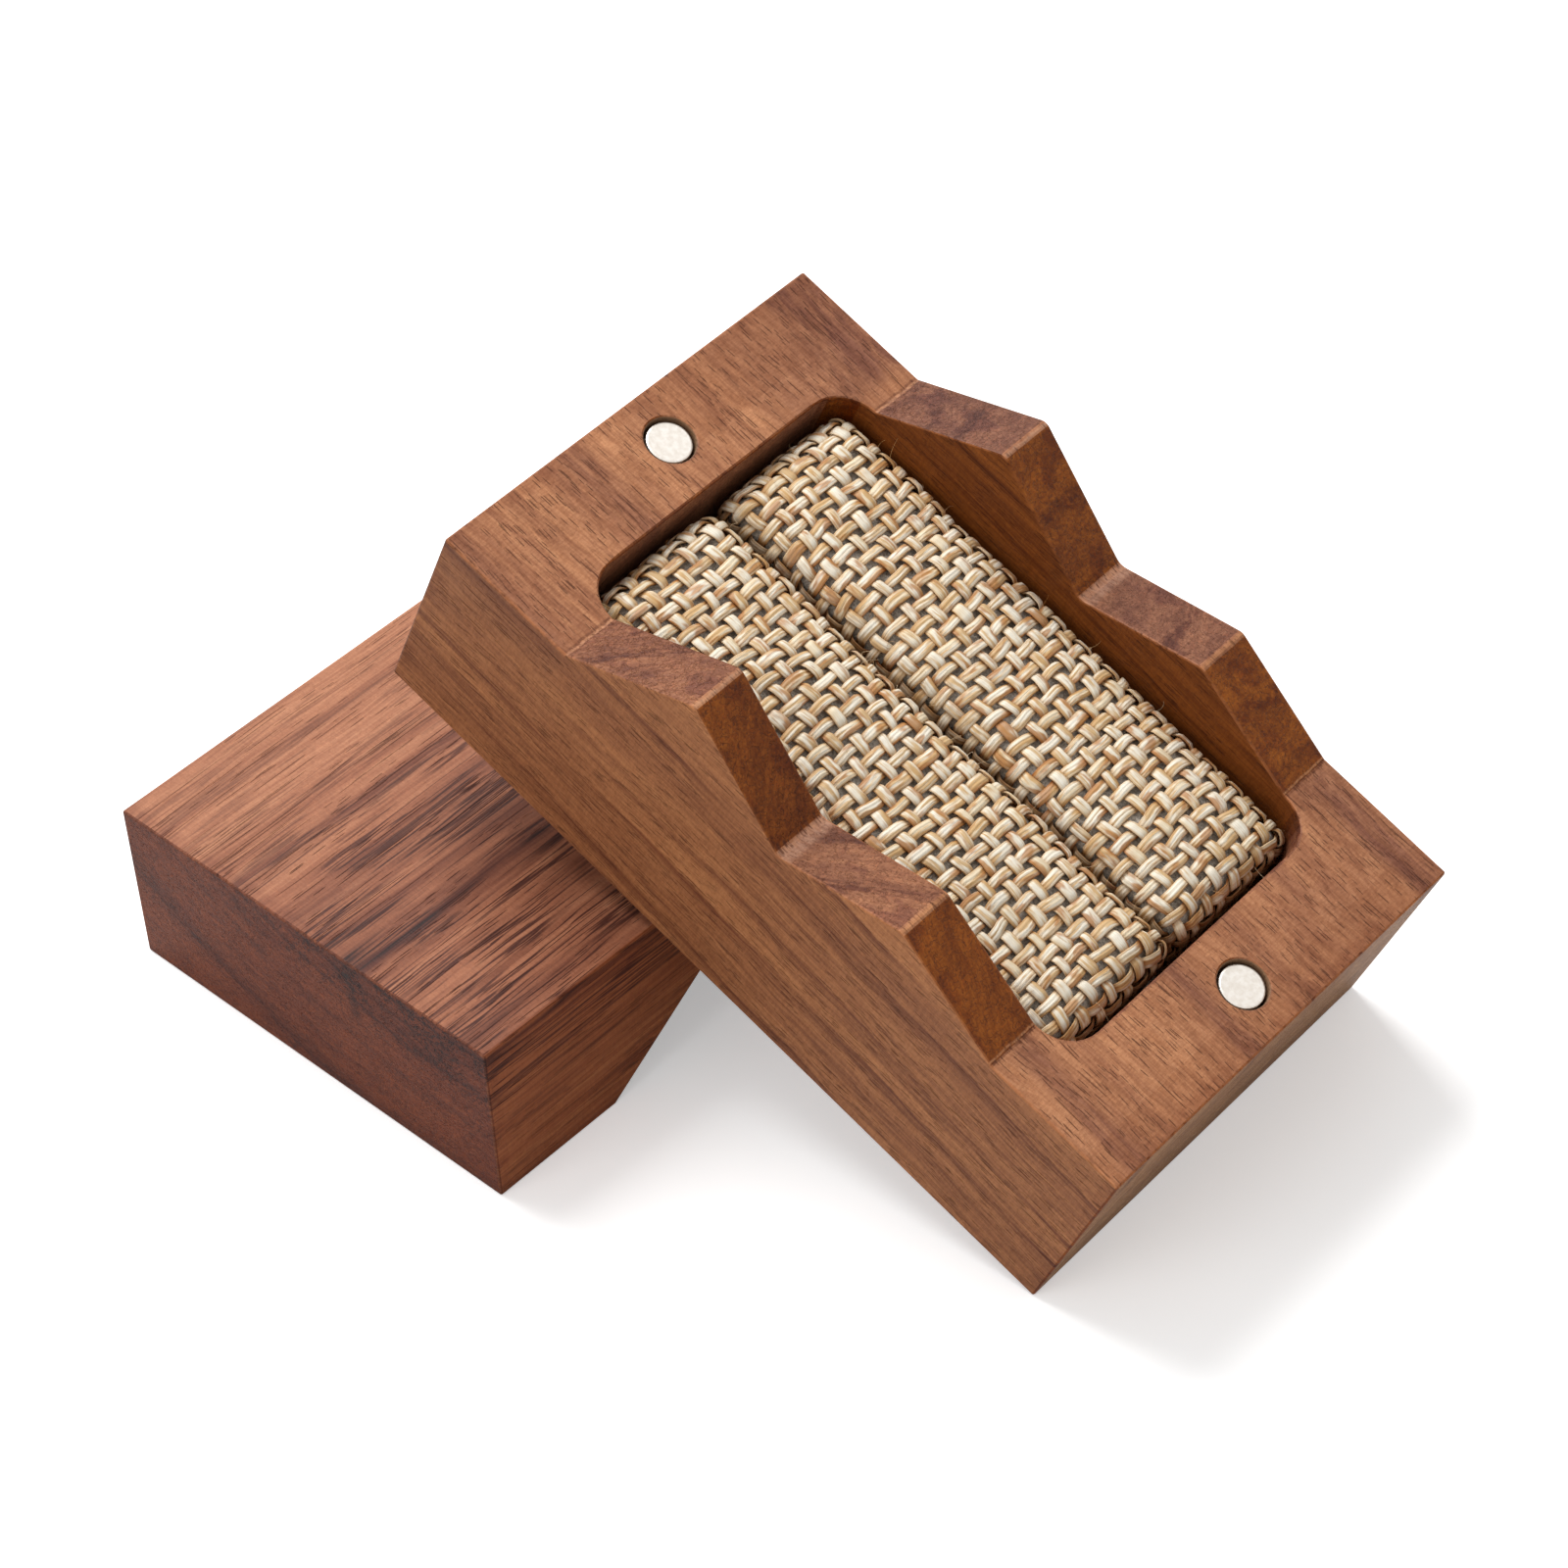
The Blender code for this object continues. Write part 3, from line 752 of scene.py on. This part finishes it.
def grid_faces(rows, columns):
    """Four corners of each cell of a grid whose points are numbered row by row."""
    numbers = np.arange(rows * columns).reshape(rows, columns)
    return np.stack([numbers[:-1, :-1], numbers[1:, :-1], numbers[1:, 1:], numbers[:-1, 1:]],
                    -1).reshape(-1, 4)


def grid_mesh(name, places):
    """An open sheet through a grid of points."""
    mesh = bpy.data.meshes.new(name)
    faces = grid_faces(*places.shape[:2])
    mesh.from_pydata(places.reshape(-1, 3).tolist(), [], faces.tolist())
    return mesh


def outward_normals(pad, s, t, step=0.05):
    """Unit normals of the skin, and how its place changes along each side of the flat cloth."""
    along_s = (pad.point(s + step, t) - pad.point(s - step, t)) / (2 * step)
    along_t = (pad.point(s, t + step) - pad.point(s, t - step)) / (2 * step)
    normal = np.cross(along_s, along_t)
    normal /= np.linalg.norm(normal, axis=-1, keepdims=True) + 1e-12
    return normal, along_s, along_t


def to_world(places):
    """Points from the base's own frame in millimetres to the whole part's frame."""
    matrix = np.array(base_frame)
    return (places * MILLIMETRE) @ matrix[:3, :3].T + matrix[:3, 3]


def foam():
    """Grey open foam: small uneven cells, darker in patches, painted pale to lift the shade that the yarns
    cast on it.
    """
    material, shader, coordinates = start_material("grey_foam")
    place = Wire(material.node_tree, coordinates.outputs["Object"]).scaled(1000.0, 1000.0, 1000.0)
    cells = place.scaled(4.0, 4.0, 4.0).noise(3.0, 0.7)
    patches = place.scaled(0.5, 0.5, 0.5).noise(2.0, 0.5)
    colour = cells.step(0.35, 0.65).choose(paint(164, 156, 145), paint(232, 224, 212))
    colour = colour.tint(patches.step(0.6, 0.35) * 0.6, paint(150, 132, 114))
    bump = cells.node("Bump", {"Height": cells, "Strength": 0.6, "Distance": 0.0002})
    feed(shader, Base_Color=colour, Normal=bump)
    shader.inputs["Roughness"].default_value = 0.95
    shader.inputs["Specular IOR Level"].default_value = 0.15
    return material


def foam_core(pad, material):
    """Closed core: the skin drawn in by the cloth, and a floor stretched over its border.

    The floor is a Coons patch, which blends the four border lines across each other.
    """
    lines_s, lines_t = pad.grid()
    lines_s = lines_s * (1 - CLOTH_BORDER / pad.reach_s)
    lines_t = lines_t * (1 - CLOTH_BORDER / pad.reach_t)
    s, t = np.meshgrid(lines_s, lines_t, indexing="ij")
    normal, _, _ = outward_normals(pad, s, t)
    upper = pad.point(s, t) - normal * FOAM_GAP
    down = np.linspace(0, 1, len(lines_s))[:, None, None]
    right = np.linspace(0, 1, len(lines_t))[None, :, None]
    floor = (1 - down) * upper[:1] + down * upper[-1:]
    floor = floor + (1 - right) * upper[:, :1] + right * upper[:, -1:]
    floor -= (1 - down) * ((1 - right) * upper[0, 0] + right * upper[0, -1])
    floor -= down * ((1 - right) * upper[-1, 0] + right * upper[-1, -1])
    rows, columns = upper.shape[:2]
    faces = grid_faces(rows, columns)
    numbers = np.arange(rows * columns).reshape(rows, columns)
    inner = numbers + rows * columns
    for border in (np.s_[0], np.s_[-1], np.s_[:, 0], np.s_[:, -1]):
        inner[border] = numbers[border]
    floor_faces = inner.ravel()[faces][:, ::-1]
    places = np.concatenate([upper.reshape(-1, 3), floor.reshape(-1, 3)])
    kept = np.zeros(len(places), bool)
    kept[faces] = True
    kept[floor_faces] = True
    renumbered = np.cumsum(kept) - 1
    mesh = bpy.data.meshes.new(f"foam_core_{pad.side}")
    all_faces = renumbered[np.concatenate([faces, floor_faces])]
    mesh.from_pydata(to_world(places[kept]).tolist(), [], all_faces.tolist())
    mesh.shade_smooth()
    core = add_object(f"foam_core_{pad.side}", mesh)
    mesh.materials.append(material)
    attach(core, "base")
    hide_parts(f"pad_core_{pad.side}")
    return core


foam_material = foam()
pads = [Pad("near", 5), Pad("far", 8)]
for pad in pads:
    pad.settle()
    foam_core(pad, foam_material)


# Woven covers
# A coarse plain weave of flat straw-like yarns, each of a few flat strands side by
# side. It is pulled over the foam, gathered at the corners and glued underneath.
LENGTH_YARN_PITCH = 2.20
CROSS_YARN_PITCH = 1.77
LENGTH_YARN_WIDTH = 1.22
CROSS_YARN_WIDTH = 1.15
YARN_THICKNESS = 0.32
WEAVE_RISE = 0.21
EDGE_EXTRA_RISE = 0.40
LONG_FLOAT_SHARE = 0.28
SECTION_POINTS = 10
STEPS_PER_CROSSING = 5.6
COARSE_STEP = 1.0
FINE_REACH = 7.5
FIBRE_THICKNESS = 0.045
STRAY_FIBRES = 60
STRANDS_PER_YARN = 3
YARN_WANDER = ((0.08, 9.0, 1), (0.06, 4.3, 6))
CLOTH_SHIFT = 0.24
CLOTH_SHIFT_REACH = 14.0
YARN_ROLL = math.radians(7.0)
LENGTH_YARN_NUMBER_SHIFT = 100.0


def section(count):
    """Closed outline of one yarn, as shares of its half width and half thickness.

    A superellipse, which is flatter on top and below than an ellipse.
    """
    turn = np.linspace(0, 2 * math.pi, count, endpoint=False)
    across = np.sign(np.cos(turn)) * np.abs(np.cos(turn)) ** 0.80
    lift = np.sign(np.sin(turn)) * np.abs(np.sin(turn)) ** 0.65
    return across, lift


def steps_along(reach, flat, step):
    """Places along a yarn: close together where the pad shows, wider further down."""
    fine = flat + FINE_REACH
    inner = np.linspace(-fine, fine, 2 * round(fine / step) + 1)
    outer = np.linspace(fine, reach, round((reach - fine) / COARSE_STEP) + 1)[1:]
    return np.concatenate([-outer[::-1], inner, outer])


def yarn_set(pad, rng, lengthwise, shifts):
    """All yarns that run one way: their points (yarn, step, section point, xyz) and notes.

    A yarn's height over the skin is a flattened cosine of its place between the
    yarns that it crosses, (15 w - 10 w^3 + 3 w^5) / 8 for a cosine w, so it goes
    over one and under the next with a steep change between. The cosine is raised
    a little before that, which makes the floats longer than the dips. Each point's
    note is its place along the yarn, across it, and the yarn's own number; the
    lift is 1 on top of a float and 0 at the bottom of a dip; the drop is how far
    the skin there lies below the pad's top.
    """
    own_pitch, other_pitch = ((LENGTH_YARN_PITCH, CROSS_YARN_PITCH) if lengthwise
                              else (CROSS_YARN_PITCH, LENGTH_YARN_PITCH))
    own_reach, run_reach = (pad.reach_t, pad.reach_s) if lengthwise else (pad.reach_s, pad.reach_t)
    run_flat = pad.flat_x if lengthwise else pad.flat_y
    own_width, bulge = (LENGTH_YARN_WIDTH, 0.09) if lengthwise else (CROSS_YARN_WIDTH, 0.03)
    count = 2 * int((own_reach - 0.6 * own_pitch) / own_pitch) + 1
    lines = (np.arange(count) - (count - 1) / 2) * own_pitch
    run = steps_along(run_reach - CLOTH_BORDER, run_flat, other_pitch / STEPS_PER_CROSSING)
    line, along = np.meshgrid(lines, run, indexing="ij")
    number = np.round(line / own_pitch)
    own_wave = rng.uniform(0, 2 * math.pi, (count, 1))

    def sway(reach, turns):
        """A slow wave along each yarn, which starts at the yarn's own place."""
        return np.sin(along / reach + own_wave * turns)

    lean = rng.uniform(-0.04, 0.04, (count, 1)) + 0.03 * sway(5.3, 2)
    for size, length, turns in YARN_WANDER:
        line = line + size * np.sin(2 * math.pi * along / length + own_wave * turns)
    line = line + lean * np.sin(math.pi * along / other_pitch)
    s, t = (along, line) if lengthwise else (line, along)
    shift_s, shift_t = shifts(s, t)
    normal, along_s, along_t = outward_normals(pad, s + shift_s, t + shift_t)
    centre = pad.point(s + shift_s, t + shift_t)
    side = along_t if lengthwise else -along_s
    squeeze = np.linalg.norm(side, axis=-1)
    side = side / (squeeze[..., None] + 1e-9)
    parity = np.where(number % 2 == 0, 1.0, -1.0) * (1.0 if lengthwise else -1.0)
    wave = parity * np.cos(math.pi * along / other_pitch)
    wave = np.clip(wave + LONG_FLOAT_SHARE * (1 - wave ** 2), -1, 1)
    height = wave * (15 - 10 * wave ** 2 + 3 * wave ** 4) / 8
    height = height * (1 + 0.12 * sway(2.9, 4))
    depth = pad.top + CROWN - centre[..., 2]
    rise = WEAVE_RISE * (1 + EDGE_EXTRA_RISE * np.clip((depth - 0.8) / 1.5, 0, 1))
    uneven = rng.uniform(0.90, 1.12, (count, 1)) + 0.09 * sway(2.3, 3)
    width = own_width * uneven * (1 + bulge * height) * np.clip(squeeze, 0.42, 1.0)
    thickness = YARN_THICKNESS * (1 + 0.08 * sway(1.7, 7))
    across, lift = section(SECTION_POINTS)
    sideways = across * width[..., None] / 2
    upward = lift * thickness[..., None] / 2 + (rise * height)[..., None]
    tilt = (YARN_ROLL * sway(3.1, 5))[..., None]
    sideways, upward = sideways - tilt * lift * 0.2, upward + tilt * sideways
    places = (centre[:, :, None] + side[:, :, None] * sideways[..., None]
              + normal[:, :, None] * upward[..., None])
    number = number + (LENGTH_YARN_NUMBER_SHIFT if lengthwise else 0.0)
    notes = np.broadcast_arrays(along[..., None], across * 0.5, number[..., None])
    notes = np.stack(notes, -1)
    lifts = np.broadcast_to(0.5 + 0.5 * height[..., None], notes.shape[:-1])
    drops = np.broadcast_to(depth[..., None], notes.shape[:-1])
    return places, notes, lifts, drops


def tube_faces(yarns, steps, points, first):
    """Faces of closed tubes: four-cornered faces along the sides, and strips over each end."""
    numbers = np.arange(yarns * steps * points).reshape(yarns, steps, points) + first
    turned = np.roll(numbers, -1, axis=2)
    sides = np.stack([numbers[:, :-1], turned[:, :-1], turned[:, 1:], numbers[:, 1:]], -1)
    half = points // 2
    strip = np.arange(half - 1)
    corners = np.stack([strip, strip + 1, points - 1 - (strip + 1), points - 1 - strip], -1)
    start = numbers[:, 0][:, corners][..., ::-1]
    end = numbers[:, -1][:, corners]
    return [sides.reshape(-1, 4), start.reshape(-1, 4), end.reshape(-1, 4)]


def stray_fibres(pad, rng, count):
    """Loose fibre ends that stand out of the cloth round the pad's rounded edges.

    Each goes from its root along a heading, bends away with the square of the way
    and curls with part of a circle. Returned like the yarns, with four-point rings.
    """
    at_end = rng.uniform(size=(count, 1)) < 0.25
    side = rng.choice([-1.0, 1.0], (count, 1))
    beyond = rng.uniform(0.0, 3.2, (count, 1))
    spread = rng.uniform(-1, 1, (count, 1))
    s = np.where(at_end, side * (pad.flat_x + beyond), spread * (pad.flat_x + 2))
    t = np.where(at_end, spread * pad.flat_y, side * (pad.flat_y + beyond))
    normal, _, _ = outward_normals(pad, s, t)
    length = rng.uniform(0.4, 1.2, (count, 1, 1))
    heading = normal * 0.5 + rng.normal(0, 0.60, (count, 1, 3)) + np.array([0, 0, 0.15])
    bend, curl, other_curl = (rng.normal(0, size, (count, 1, 3)) for size in (0.6, 0.20, 0.20))
    way = np.linspace(0, 1, 12)[None, :, None]
    turned = way * rng.uniform(2.0, 7.0, (count, 1, 1))
    curled = curl * np.sin(turned) + other_curl * (1 - np.cos(turned))
    spine = pad.point(s, t) + normal * 0.30 + length * (heading * way + bend * way ** 2 + curled)
    tangent = np.gradient(spine, axis=1)
    tangent /= np.linalg.norm(tangent, axis=-1, keepdims=True)
    first = np.cross(tangent, rng.normal(0, 1, (count, 1, 3)))
    first /= np.linalg.norm(first, axis=-1, keepdims=True)
    second = np.cross(tangent, first)
    turn = np.arange(4) * math.pi / 2
    ring = first[:, :, None] * np.cos(turn)[:, None] + second[:, :, None] * np.sin(turn)[:, None]
    places = spine[:, :, None] + ring * (FIBRE_THICKNESS / 2 * (1.1 - 0.6 * way[..., None]))
    notes = np.broadcast_to([0.0, 0.2, 0.0], places.shape)
    notes = notes + np.arange(count)[:, None, None, None] * 0.37
    return places, notes, np.ones(places.shape[:-1]), np.zeros(places.shape[:-1])


def straw():
    """Straw-like yarn: cream strands with tan and orange-brown streaks along them.

    It reads each point's note, lift and drop, which the mesh carries as attributes.
    """
    material, shader, coordinates = start_material("straw_weave")
    start = Wire(material.node_tree, coordinates.outputs["Object"])
    note = start.node("Attribute", settings={"attribute_name": "yarn"}, output="Vector")
    lift = start.node("Attribute", settings={"attribute_name": "lift"}, output="Fac")
    drop = start.node("Attribute", settings={"attribute_name": "drop"}, output="Fac")
    strands = note.scaled(0.22, 2.2, 7.3).noise(3.0, 0.6)
    hairs = note.scaled(0.4, 20.0, 3.1).noise(2.0, 0.6)
    stains = note.scaled(0.30, 1.3, 5.9).noise(2.0, 0.5)
    lengths = note.scaled(0.16, 0.6, 9.1).noise(1.0, 0.5)
    colour = strands.step(0.40, 0.55).choose(paint(208, 176, 131), paint(238, 231, 215))
    colour = colour.tint(lengths.step(0.52, 0.62) * 0.4, paint(238, 216, 170))
    colour = (stains.step(0.53, 0.64) * 0.80).choose(colour, paint(178, 122, 66))
    colour = colour.tint(hairs.step(0.58, 0.42) * 0.28, paint(212, 186, 142))

    # The yarn is painted darker gold along its edges, partly the straw's own colour and partly painted
    # shade, and where it dives under the yarns it crosses, which is painted shade with some stain.
    # Deeper down the pad's sides and into the slit between the pads it is painted darker still: painted
    # shade, with some dirt.
    across = abs(note.parts()[1])
    colour = colour.tint(across.step(0.28, 0.48) * 0.55, paint(220, 184, 132))
    colour = colour.tint(lift.step(0.90, 0.30) * 0.50, paint(224, 190, 138))
    colour = colour.tint(lift.step(0.40, 0.0) * 0.60, paint(206, 172, 130))
    colour = colour.tint(drop.step(1.4, 4.0) * 0.85, paint(158, 126, 86))
    grooves = (across * (STRANDS_PER_YARN * 2 * math.pi)).math("COSINE")
    height = strands * 0.5 + hairs * 0.6 - grooves * 0.35
    bump = height.node("Bump", {"Height": height, "Strength": 0.6, "Distance": 0.00009})
    feed(shader, Base_Color=colour, Normal=bump)
    shader.inputs["Roughness"].default_value = 0.55
    shader.inputs["Specular IOR Level"].default_value = 0.30
    return material


def woven_cover(pad, seed, material):
    """One pad's cover: both sets of yarns and the stray fibres in one mesh."""
    rng = np.random.default_rng(seed)
    waves = rng.integers(1 << 30, size=2)

    def shifts(s, t):
        """How far the cloth is pulled out of true at any place, both ways."""
        return [ripple(np.random.default_rng(wave), s, t, CLOTH_SHIFT, CLOTH_SHIFT_REACH)
                for wave in waves]

    sets = [yarn_set(pad, rng, lengthwise, shifts) for lengthwise in (True, False)]
    sets.append(stray_fibres(pad, rng, STRAY_FIBRES))
    faces, first = [], 0
    for places, *_ in sets:
        faces += tube_faces(*places.shape[:3], first)
        first += math.prod(places.shape[:3])
    mesh = bpy.data.meshes.new(f"woven_cover_{pad.side}")
    places = np.concatenate([item[0].reshape(-1, 3) for item in sets])
    mesh.from_pydata(to_world(places).tolist(), [], np.concatenate(faces).tolist())
    layers = (("yarn", "FLOAT_VECTOR", "vector"), ("lift", "FLOAT", "value"), ("drop", "FLOAT", "value"))
    for column, (name, kind, field) in enumerate(layers, 1):
        layer = mesh.attributes.new(name, kind, "POINT")
        values = np.concatenate([item[column].ravel() for item in sets])
        layer.data.foreach_set(field, values.astype(np.float32))
    mesh.shade_smooth()
    mesh.materials.append(material)
    cover = add_object(f"woven_cover_{pad.side}", mesh)
    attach(cover, "base")
    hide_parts(f"pad_cover_{pad.side}")
    return cover


straw_material = straw()
for pad, seed in zip(pads, (21, 34)):
    woven_cover(pad, seed, straw_material)


# Floor and light
# A plain white floor and soft white lamps, with the main one high on the left.
# The floor glows a little for the camera alone, so that it shows white under the shadow.
FLOOR_HALF = 3.0
FLOOR_GLOW = 0.38
SKY_LIGHT = 0.50


def white_floor():
    """Matt white that the camera sees a little brighter than it is lit."""
    material, shader, _ = start_material("white_floor")
    tree = material.node_tree
    shader.inputs["Base Color"].default_value = (0.9, 0.9, 0.9, 1.0)
    shader.inputs["Roughness"].default_value = 0.9
    shader.inputs["Specular IOR Level"].default_value = 0.0
    shader.inputs["Emission Color"].default_value = (1.0, 1.0, 1.0, 1.0)
    seen = Wire(tree, tree.nodes.new("ShaderNodeLightPath").outputs["Is Camera Ray"])
    tree.links.new((seen * FLOOR_GLOW).socket, shader.inputs["Emission Strength"])
    return material


corners = [(-FLOOR_HALF, -FLOOR_HALF, 0), (FLOOR_HALF, -FLOOR_HALF, 0),
           (FLOOR_HALF, FLOOR_HALF, 0), (-FLOOR_HALF, FLOOR_HALF, 0)]
floor_mesh = bpy.data.meshes.new("floor")
floor_mesh.from_pydata(corners, [], [(0, 1, 2, 3)])
floor_mesh.materials.append(white_floor())
floor = add_object("floor", floor_mesh)

world = bpy.data.worlds.new("studio")
bpy.context.scene.world = world
world.use_nodes = True
sky_tree = world.node_tree
background = sky_tree.nodes["Background"]
sky_path = sky_tree.nodes.new("ShaderNodeLightPath")
seen = Wire(sky_tree, sky_path.outputs["Is Camera Ray"])
seen = seen.math("MAXIMUM", Wire(sky_tree, sky_path.outputs["Is Glossy Ray"]))
seen = seen.math("MAXIMUM", Wire(sky_tree, sky_path.outputs["Is Transmission Ray"]))
strength = SKY_LIGHT + seen * (1.0 - SKY_LIGHT)
sky_tree.links.new(strength.socket, background.inputs["Strength"])
background.inputs["Color"].default_value = (1.0, 1.0, 1.0, 1.0)


def soft_lamp(name, place, size, power):
    """A square lamp that faces the box."""
    lamp_data = bpy.data.lights.new(name, "AREA")
    lamp_data.shape = "SQUARE"
    lamp_data.size = size
    lamp_data.energy = power
    lamp = add_object(name, lamp_data)
    lamp.location = place
    lamp.rotation_mode = "QUATERNION"
    lamp.rotation_quaternion = (CAMERA_AIM - Vector(place)).to_track_quat("-Z", "Y")


soft_lamp("main_lamp", (-0.60, 0.10, 0.90), 0.70, 13.0)
soft_lamp("front_lamp", (-0.10, -0.90, 0.60), 0.60, 2.5)
